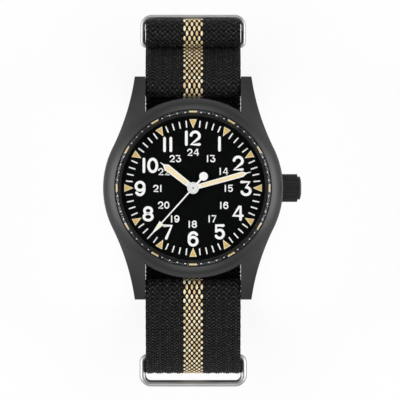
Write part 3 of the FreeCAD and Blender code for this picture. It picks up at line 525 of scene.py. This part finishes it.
def flatWebbing(length, width, slots=(), narrow=()):
    # a flat strip with thickness and looped edges, its UV map in centimetres
    deselectAll()
    bpy.ops.mesh.primitive_grid_add(x_subdivisions=round(width / weave["cell"]),
                                    y_subdivisions=round(length / weave["cell"]), size=1)
    strip = bpy.context.object
    strip.scale = (width * mm, length * mm, 1)
    strip.location = (0, length * mm / 2, 0)
    applyPlace(strip)
    if slots:
        bpy.ops.object.mode_set(mode="EDIT")
        bpy.ops.mesh.select_mode(type="FACE")
        bpy.ops.mesh.select_all(action="DESELECT")
        sheet = bmesh.from_edit_mesh(strip.data)
        for face in sheet.faces:
            spot = face.calc_center_median() / mm
            face.select = any(slotGap(spot.x, spot.y, slot) < 0 for slot in slots)
        bmesh.update_edit_mesh(strip.data)
        bpy.ops.mesh.delete(type="FACE")
        sheet = bmesh.from_edit_mesh(strip.data)
        for vertex in sheet.verts:
            if not vertex.is_boundary or abs(vertex.co.x) > 0.4 * width * mm:
                continue
            x, y = vertex.co.x / mm, vertex.co.y / mm
            slot = min(slots, key=lambda one: slotGap(x, y, one))
            if slotGap(x, y, slot) > 2 * weave["cell"]:
                continue
            reach = max(0.0, abs(y - slot[0]) - (slot[1] - slot[2]) / 2)
            rim = slot[0] + math.copysign(abs(y - slot[0]) - reach, y - slot[0])
            away = Vector((x, y - rim, 0)).normalized() * slot[2] / 2
            vertex.co.x, vertex.co.y = away.x * mm, (rim + away.y) * mm
        bmesh.update_edit_mesh(strip.data)
        bpy.ops.object.mode_set(mode="OBJECT")
    wall = strip.modifiers.new("thickness", "SOLIDIFY")
    wall.thickness = 2 * weave["halfThick"] * mm
    wall.offset = 0
    soft = strip.modifiers.new("softEdge", "BEVEL")
    soft.width = 0.25 * mm
    soft.segments = 2
    soft.limit_method = "ANGLE"
    soft.angle_limit = math.radians(60)
    applyModifiers(strip)
    mesh = strip.data
    co = np.empty(len(mesh.vertices) * 3)
    mesh.vertices.foreach_get("co", co)
    co = co.reshape(-1, 3) / mm
    corners = np.empty(len(mesh.loops), dtype=np.int32)
    mesh.loops.foreach_get("vertex_index", corners)
    for layer in list(mesh.uv_layers):
        mesh.uv_layers.remove(layer)
    mesh.uv_layers.new(name="weave").data.foreach_set("uv", (co[corners, :2] * 0.1).ravel())
    across, along, height = co.T
    edge = np.clip((np.abs(across) - width / 2 + 0.7) / 0.7, 0, 1)
    loops = np.sin(along / weave["rowStep"] * 2 * math.pi) - 1
    across += np.sign(across) * edge * weave["scallop"] * loops
    for low, high, half in narrow:
        across *= narrowing(along, low, high, half * 2 / width)
    mesh.vertices.foreach_set("co", (np.stack([across, along, height], 1) * mm).ravel())
    mesh.update()
    return strip


def narrowing(along, low, high, share):
    run = weave["narrowRun"]
    blend = np.clip((along - low) / run, 0, 1) * np.clip((high - along) / run, 0, 1)
    return 1 - blend * (1 - share)


def threadFloats(name, length, side, thread, columns, slots=(), narrow=()):
    # raised threads of the weave: columns gives each column's number and its shift along
    deselectAll()
    bpy.ops.mesh.primitive_uv_sphere_add(segments=thread["around"], ring_count=thread["rings"],
                                         radius=1)
    seed = bpy.context.object
    bpy.ops.object.mode_set(mode="EDIT")
    bpy.ops.mesh.select_all(action="SELECT")
    bpy.ops.mesh.bisect(plane_co=(0, 0, 0), plane_no=(0, 0, 1), use_fill=True, clear_inner=True)
    bpy.ops.object.mode_set(mode="OBJECT")
    seed.scale = (thread["across"] * mm, thread["along"] * mm, thread["height"] * mm)
    applyPlace(seed)
    turned = Matrix.Rotation(math.pi if side < 0 else 0, 4, "Y")
    random = np.random.default_rng(thread["seed"])
    period = thread["period"]
    end = thread["along"] + weave["endMargin"]
    places = []
    for column, shift in columns:
        x = (column - (weave["columns"] - 1) / 2) * weave["columnStep"]
        for row in range(int(length / period) + 1):
            y = (row + shift) * period
            if not end < y < length - end:
                continue
            if any(slotGap(x, y, slot) < weave["slotMargin"] for slot in slots):
                continue
            wander = random.normal(0, thread["wander"], 3)
            squeeze = 1.0
            for low, high, half in narrow:
                squeeze *= float(narrowing(y, low, high, half * 2 / strap["width"]))
            place = Matrix.Translation(((x * squeeze + wander[0]) * mm, (y + wander[1]) * mm,
                                        side * thread["sink"] * mm))
            lean = Matrix.Rotation(math.radians(thread["lean"] * (1 if row % 2 else -1))
                                   + wander[2], 4, "Z")
            size = 1 + random.normal(0, thread["wander"])
            places.append(place @ lean @ turned @ Matrix.Diagonal((size, size, 1, 1)))
    count = len(seed.data.vertices)
    piece = copiesOf(seed, places, name)
    tones = random.random(len(places)).repeat(count)
    piece.data.attributes.new("tone", "FLOAT", "POINT").data.foreach_set("value", tones)
    return piece


def stripeColumns():
    first = (weave["columns"] - weave["stripeColumns"]) // 2
    return [(first + i, 0.5 * (i % 2)) for i in range(weave["stripeColumns"])]


def blackColumns():
    # herringbone: each column's threads start a step on from its neighbour's
    shifts = (0.0, 0.42, 0.78, 0.36)
    first = (weave["columns"] - weave["stripeColumns"]) // 2
    left = [(first - 1 - i, shifts[i % 4]) for i in range(first)]
    return left + [(weave["columns"] - 1 - column, shift) for column, shift in left]


def webbingMaterial():
    # the ground of the weave, ribs across it and fine threads along; its colour is painted shade in
    # the hollows and painted highlight on the tops, with random flecks
    material, desk, shader = principled("blackWebbing", 0.7, 0.0, 0.08)
    flat = desk.put("UVMap", uv_map="weave")
    split = desk.put("SeparateXYZ")
    desk.join(flat.outputs["UV"], split.inputs[0])
    wave = 2 * math.pi * 10  # the map is in centimetres
    ribs = desk.maths("COSINE", desk.maths("MULTIPLY", split.outputs[1], wave / weave["rowStep"]))
    threads = desk.maths("COSINE", desk.maths("MULTIPLY", split.outputs[0],
                                              wave / weave["columnStep"]))
    fleck = desk.noise(flat.outputs["UV"], 120.0, 3.0)
    height = desk.maths("ADD", desk.maths("MULTIPLY", ribs, 0.8),
                        desk.maths("MULTIPLY", threads, 0.3))
    height = desk.maths("ADD", height, fleck)
    # painted shade and highlight: the colour follows the relief's height, darker in the hollows and
    # lighter on the tops of the ribs and threads
    tone = desk.maths("MULTIPLY", desk.maths("ADD", height, 0.3), 0.6, True)
    color = desk.mix(tone, (0.0025, 0.0025, 0.0025, 1), (0.014, 0.0137, 0.0135, 1))
    desk.join(color, shader.inputs["Base Color"])
    relief = desk.put("Bump")
    relief.inputs["Distance"].default_value = 0.12 * mm
    desk.join(height, relief.inputs["Height"])
    desk.join(relief.outputs["Normal"], shader.inputs["Normal"])
    return material


def threadMaterial(name, tones, roughness, specular):
    # twisted yarn, each float a little lighter or darker than the next
    material, desk, shader = principled(name, roughness, 0.0, specular)
    ramp = desk.put("ValToRGB")
    for element, color in zip(ramp.color_ramp.elements, (tones[0], tones[-1])):
        element.color = (*color, 1)
    for i, color in enumerate(tones[1:-1]):
        ramp.color_ramp.elements.new((i + 1) / (len(tones) - 1)).color = (*color, 1)
    desk.join(desk.put("Attribute", attribute_name="tone").outputs["Fac"], ramp.inputs["Fac"])
    fine = desk.noise(desk.put("TexCoord").outputs["Object"], 9000.0, 3.0)
    shade = desk.put("VectorMath", operation="SCALE")
    desk.join(ramp.outputs["Color"], shade.inputs[0])
    desk.join(desk.maths("ADD", desk.maths("MULTIPLY", fine, 0.5), 0.75), shade.inputs["Scale"])
    desk.join(shade.outputs["Vector"], shader.inputs["Base Color"])
    relief = desk.put("Bump")
    relief.inputs["Distance"].default_value = 0.03 * mm
    desk.join(fine, relief.inputs["Height"])
    desk.join(relief.outputs["Normal"], shader.inputs["Normal"])
    return material


blackWebbing = webbingMaterial()
stripeThread = threadMaterial("stripeThread", [(0.74, 0.52, 0.26), (0.90, 0.72, 0.43),
                                               (0.96, 0.87, 0.63)], 0.4, 0.45)
blackThread = threadMaterial("blackThread", [(0.004, 0.004, 0.004), (0.011, 0.0108, 0.0105),
                                             (0.036, 0.0355, 0.035)], 0.45, 0.3)

# half sizes of a raised thread, and how far its foot stands from the webbing's middle
stripeFloat = {
    "period": 2 * weave["rowStep"], "across": 0.285, "along": 0.53, "height": 0.18,
    "sink": 0.43, "around": 8, "rings": 6, "lean": 0, "wander": 0.012, "seed": 11,
}
blackFloat = {
    "period": weave["rowStep"], "across": 0.25, "along": 0.25, "height": 0.2,
    "sink": 0.42, "around": 5, "rings": 4, "lean": 9, "wander": 0.035, "seed": 12,
}


def dressStrap(name, route, slots, narrow, node):
    # ground, then the raised threads of both faces
    length = routeLength(route[2])
    wide = strap["width"] + weave["edgeLoops"]
    ground = wrapOnRoute(flatWebbing(length, wide, slots, narrow), route)
    smooth(ground, 50)
    finishPiece(ground, name + "_webbing", "watch", blackWebbing, (node,))
    for side, label in ((1, "one"), (-1, "two")):
        for kind, thread, columns, finish, slot in (
                ("stripe", stripeFloat, stripeColumns(), stripeThread, "stripe_thread"),
                ("threads", blackFloat, blackColumns(), blackThread, "webbing")):
            piece = threadFloats(f"{name}_{kind}_{label}", length, side, thread, columns, slots,
                                 narrow)
            wrapOnRoute(piece, route)
            smooth(piece, 180)
            finishPiece(piece, piece.name, "watch", finish)
    print(name, round(length, 1), "mm")


def makeLongStrap():
    route = longRoute()
    steps = route[2]
    length = routeLength(steps)
    holes = {"pitch": 7.0, "length": 3.2, "width": 2.2, "tongue": 6.0, "back": 5.1, "before": 3,
             "after": 4, "eyeOver": 4.4, "eyeWidth": 2.4}
    tuck = {"back": 5.5, "past": 20, "half": 9.3}  # narrower where the upper keeper holds it
    toLow = routeLength(steps[:21])
    slots = []
    for i in range(-holes["before"], holes["after"] + 1):
        middle = toLow - holes["back"] + holes["pitch"] * i
        slots.append((middle, holes["length"] if i else holes["tongue"], holes["width"]))
    flatPart = strap["foldEnd"] - strap["hingeY"]
    foldPart = stepLength(steps[1])
    slots.append((flatPart + foldPart / 2, foldPart + holes["eyeOver"], holes["eyeWidth"]))
    narrow = [(length - tuck["back"], length + tuck["past"], tuck["half"])]
    dressStrap("long_strap", route, slots, narrow, "long_strap")


def makeShortStrap():
    route = shortRoute()
    fold = routeLength(route[2][:6])
    ring = {"before": 2.5, "after": 5.0, "half": 9.15}  # narrower in the strap ring
    narrow = [(fold - ring["before"], fold + ring["after"], ring["half"])]
    dressStrap("short_strap", route, (), narrow, "short_strap")


tab = {"width": 17.0, "offset": 0.375, "reach": 2.7, "ease": 0.5, "over": 0.935}
# middle of each keeper's inner bar (y, z) and its tab's lean
tabPlaces = {"keeper_tab_upper": ((30.5, 28.0), 7), "keeper_tab_lower": ((20.647, 6.109), -65)}


def makeTab(node, bar, lean):
    # a strip folded over a keeper's inner bar and sewn flat each side of it
    ease, over = tab["ease"], tab["over"]
    rise = math.sqrt((ease + over) ** 2 - (tab["offset"] - ease) ** 2)
    turn = math.degrees(math.acos((ease - tab["offset"]) / (ease + over)))
    foot = (tab["reach"] - rise,)
    steps = [foot, (ease, -turn), (over, 2 * turn), (ease, -turn), foot]
    tilt = math.radians(lean)
    start = (bar[0] + tab["offset"] * math.cos(tilt) - tab["reach"] * math.sin(tilt),
             bar[1] + tab["offset"] * math.sin(tilt) + tab["reach"] * math.cos(tilt))
    piece = flatWebbing(routeLength(steps), tab["width"])
    piece.data.transform(Matrix.Diagonal((1, 1, 0.5, 1)))
    wrapOnRoute(piece, (start, lean - 90, steps))
    smooth(piece, 50)
    finishPiece(piece, node + "_webbing", "watch", blackWebbing, (node,))


makeLongStrap()
makeShortStrap()
for node, (bar, lean) in tabPlaces.items():
    makeTab(node, bar, lean)
print("strap pieces done")

# the dial's print

dialPrint = {
    "hourHeight": 3.24, "hourStroke": 0.58, "smallHeight": 1.55, "smallStroke": 0.27,
    "relief": 0.03, "gap": 0.36, "gapBesideOne": 0.5, "gapInTens": 0.37,
}

# strokes of each numeral in a box one high: points, or an arc (middle, radii, from, to)
numeralStrokes = {
    "0": (0.657, [[("arc", 0.328, 0.5, 0.328, 0.5, 90, 450)]]),
    "1": (0.0, [[(0, 0), (0, 1)]]),
    "2": (0.668, [[("arc", 0.334, 0.68, 0.334, 0.32, 172, -38), (0.01, 0), (0.668, 0)]]),
    "3": (0.69, [[(0, 1), (0.63, 1), (0.34, 0.585), ("arc", 0.353, 0.29, 0.337, 0.295, 88, -165)]]),
    "4": (0.72, [[(0.58, 0), (0.58, 1), (0.47, 1), (0, 0.286), (0.72, 0.286)]]),
    "5": (0.645, [[(0.62, 1), (0.06, 1), (0.04, 0.53),
                   ("arc", 0.33, 0.325, 0.315, 0.325, 140, -152)]]),
    "6": (0.64, [[("arc", 0.34, 0.58, 0.34, 0.42, 38, 180), (0, 0.32),
                  ("arc", 0.32, 0.32, 0.32, 0.32, 180, 540)]]),
    "7": (0.6, [[(0, 1), (0.6, 1), (0.17, 0)]]),
    "8": (0.668, [[("arc", 0.334, 0.757, 0.29, 0.243, 90, 450)],
                  [("arc", 0.334, 0.262, 0.334, 0.262, 90, 450)]]),
    "9": (0.66, [[("arc", 0.325, 0.42, 0.335, 0.42, -142, 0), (0.66, 0.68),
                  ("arc", 0.335, 0.68, 0.325, 0.32, 0, 360)]]),
}
# middles of the numerals from the dial's middle, in photo pixels right and up
hourPlaces = {"12": (-0.2, 49.8), "1": (26.4, 44.1), "2": (45.1, 24.7), "3": (52.8, -0.3),
              "4": (44.7, -25.1), "5": (26.4, -43.8), "6": (0, -50.9), "7": (-25.2, -44.0),
              "8": (-45.0, -25.9), "9": (-53.1, -0.5), "10": (-42.7, 22.6), "11": (-25.4, 43.5)}
smallPlaces = {"24": (0, 35.7), "13": (18.1, 29.4), "14": (30.8, 16.6), "15": (35.7, -0.3),
               "16": (31.2, -17.4), "17": (19.4, -30.8), "18": (-0.3, -36.2), "19": (-17.9, -30.8),
               "20": (-29.4, -17.1), "21": (-35.8, -0.4), "22": (-29.2, 16.3), "23": (-17.8, 29.4)}


def strokePoints(stroke):
    points = []
    for item in stroke:
        if item[0] != "arc":
            points.append(item)
            continue
        _, x, y, wide, high, first, last = item
        count = max(6, round(abs(last - first) / 9))
        for i in range(count + 1):
            angle = math.radians(first + (last - first) * i / count)
            points.append((x + wide * math.cos(angle), y + high * math.sin(angle)))
    return points


def addStroke(curve, points, radius):
    # round ends: the line grows from nothing over its last stretch
    closed = math.dist(points[0], points[-1]) < radius * 0.1
    sizes = [1.0] * len(points)
    if closed:
        points, sizes = points[:-1], sizes[:-1]
    else:
        caps = ((0.45, 0.89), (0.8, 0.6), (0.97, 0.22), (1.0, 0.0))
        for end, inward in ((0, 1), (-1, -2)):
            a, b = Vector(points[end]), Vector(points[inward])
            away = (a - b).normalized() * radius
            extra = [(tuple(a + away * reach), size) for reach, size in caps]
            if end:
                points = points + [spot for spot, _ in extra]
                sizes = sizes + [size for _, size in extra]
            else:
                points = [spot for spot, _ in extra[::-1]] + points
                sizes = [size for _, size in extra[::-1]] + sizes
    line = curve.splines.new("POLY")
    line.points.add(len(points) - 1)
    for point, (x, y), size in zip(line.points, points, sizes):
        point.co = (x * mm, y * mm, 0, 1)
        point.radius = size
    line.use_cyclic_u = closed


def makeNumerals(name, places, height, stroke):
    tall = height - stroke
    curve = bpy.data.curves.new(name, "CURVE")
    curve.dimensions = "3D"
    curve.bevel_depth = stroke / 2 * mm
    curve.bevel_resolution = 3
    for text, (right, up) in places.items():
        gap = dialPrint["gap"]
        if "1" in text:
            gap = dialPrint["gapBesideOne" if stroke < 0.5 or text == "11" else "gapInTens"]
        widths = [numeralStrokes[digit][0] for digit in text]
        x = -(sum(widths) + gap * (len(text) - 1)) / 2 * tall + right * photoPixel
        y = -tall / 2 + up * photoPixel
        for digit, width in zip(text, widths):
            for strokes in numeralStrokes[digit][1]:
                points = [(x + px * tall, y + py * tall) for px, py in strokePoints(strokes)]
                addStroke(curve, points, stroke / 2)
            x += (width + gap) * tall
    drawn = bpy.data.objects.new(name + "_line", curve)
    bpy.context.scene.collection.objects.link(drawn)
    pick(drawn)
    bpy.ops.object.convert(target="MESH")
    piece = bpy.context.object
    piece.scale = (1, 1, dialPrint["relief"] / (stroke / 2))
    piece.location = (0, 0, dialTop)
    applyPlace(piece)
    smooth(piece, 60)
    return finishPiece(piece, name, "watch", printWhite)


def makeMinuteTrack():
    tick = {"inner": 12.8, "outer": 14.27, "width": 0.275, "height": 0.03}
    deselectAll()
    middle = (tick["inner"] + tick["outer"]) / 2
    bpy.ops.mesh.primitive_cube_add(size=1, location=(0, middle * mm, dialTop))
    seed = bpy.context.object
    seed.scale = (tick["width"] * mm, (tick["outer"] - tick["inner"]) * mm, 2 * tick["height"] * mm)
    applyPlace(seed)
    rounding = seed.modifiers.new("roundEnds", "BEVEL")
    rounding.width = tick["width"] * 0.4 * mm
    rounding.segments = 3
    rounding.affect = "EDGES"
    rounding.limit_method = "WEIGHT"
    weights = seed.data.attributes.new("bevel_weight_edge", "FLOAT", "EDGE")
    for edge in seed.data.edges:
        a, b = (seed.data.vertices[i].co for i in edge.vertices)
        weights.data[edge.index].value = 1.0 if abs(a.z - b.z) > 1e-6 else 0.0
    applyModifiers(seed)
    turns = [Matrix.Rotation(math.radians(6 * i), 4, "Z") for i in range(60) if i % 5]
    piece = copiesOf(seed, turns, "minute_track")
    finishPiece(piece, "minute_track", "watch", printWhite)


def makeHourTriangles():
    mark = {"base": 1.6, "outer": 14.5, "apex": 12.6, "height": 0.035, "rim": 0.13}
    deselectAll()
    bpy.ops.mesh.primitive_circle_add(vertices=3, radius=1, fill_type="NGON")
    seed = bpy.context.object
    half = mark["base"] / 2
    corners = [(0, mark["apex"]), (half, mark["outer"]), (-half, mark["outer"])]
    for vertex, (x, y) in zip(seed.data.vertices, corners):
        vertex.co = (x * mm, y * mm, dialTop)
    bpy.ops.object.mode_set(mode="EDIT")
    bpy.ops.mesh.select_all(action="SELECT")
    bpy.ops.mesh.normals_make_consistent(inside=False)
    bpy.ops.mesh.extrude_region_move(TRANSFORM_OT_translate={"value": (0, 0, mark["height"] * mm)})
    bpy.ops.mesh.inset(thickness=mark["rim"] * mm, depth=0)
    bpy.ops.object.mode_set(mode="OBJECT")
    high = dialTop + 0.9 * mark["height"] * mm
    tops = [face for face in seed.data.polygons if face.center.z > high]
    inner = max(tops, key=lambda face: (len(face.vertices) == 3, face.area))
    for face in seed.data.polygons:
        face.material_index = 0
    inner.material_index = 1
    turns = [Matrix.Rotation(math.radians(30 * i), 4, "Z") for i in range(12)]
    piece = copiesOf(seed, turns, "hour_triangles")
    marks = [face.material_index for face in piece.data.polygons]
    finishPiece(piece, "hour_triangles", "watch", (markerEdge, markerGold))
    piece.data.polygons.foreach_set("material_index", marks)


makeNumerals("hour_numerals", hourPlaces, dialPrint["hourHeight"], dialPrint["hourStroke"])
makeNumerals("day_numerals", smallPlaces, dialPrint["smallHeight"], dialPrint["smallStroke"])
makeMinuteTrack()
makeHourTriangles()
print("dial print done")

# floor, light and camera

studio = {
    "floorSize": 6.0, "floorInMetal": 0.3, "sideDistance": 0.55, "sideHeight": 0.45,
    "sideShare": 0.34, "sideSize": 0.5, "endShare": 0.10, "endAway": 1.4, "aimHeight": 0.04,
    "worldDiffuse": 0.38, "flagAngle": 16.0, "flagSoft": 8, "endTone": 0.2, "sideTone": 1.0,
}
shot = {"distance": 1.7, "dialX": 193.1, "dialY": 188.0, "picture": 400, "sensor": 36.0}


def makeFloor():
    deselectAll()
    bpy.ops.mesh.primitive_plane_add(size=studio["floorSize"], location=(0, 0, -0.02 * mm))
    floor = bpy.context.object
    floor.name = "studio_floor"
    material, desk, shader = principled("paleFloor", 0.9, 0.0, 0.2)
    shader.inputs["Base Color"].default_value = (0.86, 0.86, 0.86, 1)
    glow = desk.put("Emission")
    glow.inputs["Strength"].default_value = 1.02
    rays = desk.put("LightPath")
    mirrored = desk.maths("MULTIPLY", rays.outputs["Is Glossy Ray"], studio["floorInMetal"])
    seen = desk.maths("MAXIMUM", rays.outputs["Is Camera Ray"], mirrored)
    seen = desk.maths("MAXIMUM", seen, rays.outputs["Is Transmission Ray"])
    blend = desk.put("MixShader")
    desk.join(desk.maths("MULTIPLY", seen, 0.82), blend.inputs[0])
    desk.join(shader.outputs[0], blend.inputs[1])
    desk.join(glow.outputs[0], blend.inputs[2])
    desk.join(blend.outputs[0], material.node_tree.nodes["Material Output"].inputs["Surface"])
    floor.data.materials.append(material)


def makeWorld():
    # white where the camera sees it; in mirrors bright at the two sides, dim at the ends,
    # and dark straight overhead, where the camera's own stand would be
    world = bpy.data.worlds.new("studioWorld")
    bpy.context.scene.world = world
    world.use_nodes = True
    desk = NodeDesk(world.node_tree)
    background = world.node_tree.nodes["Background"]
    rays = desk.put("LightPath")
    way = desk.put("SeparateXYZ")
    desk.join(desk.put("TexCoord").outputs["Generated"], way.inputs[0])
    flag = desk.put("MapRange", interpolation_type="SMOOTHSTEP")
    desk.join(way.outputs[2], flag.inputs["Value"])
    for label, value in (("From Min", math.cos(math.radians(studio["flagAngle"]))),
                         ("From Max", math.cos(math.radians(studio["flagAngle"]
                                                            + studio["flagSoft"]))),
                         ("To Min", 0.0), ("To Max", 1.0)):
        flag.inputs[label].default_value = value
    across = desk.maths("ABSOLUTE", way.outputs[0])
    along = desk.maths("ABSOLUTE", way.outputs[1])
    share = desk.maths("DIVIDE", across, desk.maths("ADD", desk.maths("ADD", across, along), 0.001))
    side = desk.put("MapRange", interpolation_type="SMOOTHSTEP")
    desk.join(share, side.inputs["Value"])
    for label, value in (("From Min", 0.36), ("From Max", 0.62), ("To Min", studio["endTone"]),
                         ("To Max", studio["sideTone"])):
        side.inputs[label].default_value = value
    room = desk.maths("MULTIPLY", side.outputs[0], flag.outputs[0])
    bounced = desk.maths("MAXIMUM", rays.outputs["Is Glossy Ray"],
                         rays.outputs["Is Transmission Ray"])
    mirrored = desk.maths("MULTIPLY", bounced, room)
    seen = desk.maths("MAXIMUM", rays.outputs["Is Camera Ray"], mirrored)
    desk.join(desk.maths("MAXIMUM", seen, desk.maths("MULTIPLY", rays.outputs["Is Diffuse Ray"],
                                                     studio["worldDiffuse"])),
              background.inputs["Strength"])
    background.inputs["Color"].default_value = (1, 1, 1, 1)


def addSoftbox(name, place, size, share):
    target = Vector((0, 0, studio["aimHeight"]))
    place = Vector(place)
    bpy.ops.object.light_add(type="AREA", location=place)
    lamp = bpy.context.object
    lamp.name = name
    lamp.data.shape = "RECTANGLE"
    lamp.data.size, lamp.data.size_y = size
    away = place - target
    lamp.rotation_mode = "QUATERNION"
    lamp.rotation_quaternion = away.to_track_quat("Z", "Y")
    lamp.data.energy = math.pi ** 2 * away.length_squared * share / (away.z / away.length)


def makeLights():
    side, up, size = studio["sideDistance"], studio["sideHeight"], studio["sideSize"]
    away = studio["endAway"]
    for sign, name in ((-1, "softbox_left"), (1, "softbox_right")):
        addSoftbox(name, (sign * side, 0, up), (size, size), studio["sideShare"])
    for sign, name in ((-1, "softbox_front"), (1, "softbox_back")):
        addSoftbox(name, (0, sign * side * away, up * away), (size, size), studio["endShare"])


def makeCamera():
    pixel = photoPixel * mm
    middle = shot["picture"] / 2
    place = ((middle - shot["dialX"]) * pixel, (shot["dialY"] - middle) * pixel,
             dialTop + shot["distance"])
    bpy.ops.object.camera_add(location=place, rotation=(0, 0, 0))
    camera = bpy.context.object
    camera.data.sensor_width = shot["sensor"]
    camera.data.lens = shot["sensor"] * shot["distance"] / (shot["picture"] * pixel)
    camera.data.clip_start, camera.data.clip_end = 0.01, 20
    bpy.context.scene.camera = camera


makeFloor()
makeWorld()
makeLights()
makeCamera()
bpy.context.scene.view_settings.view_transform = "Standard"
print("studio done")
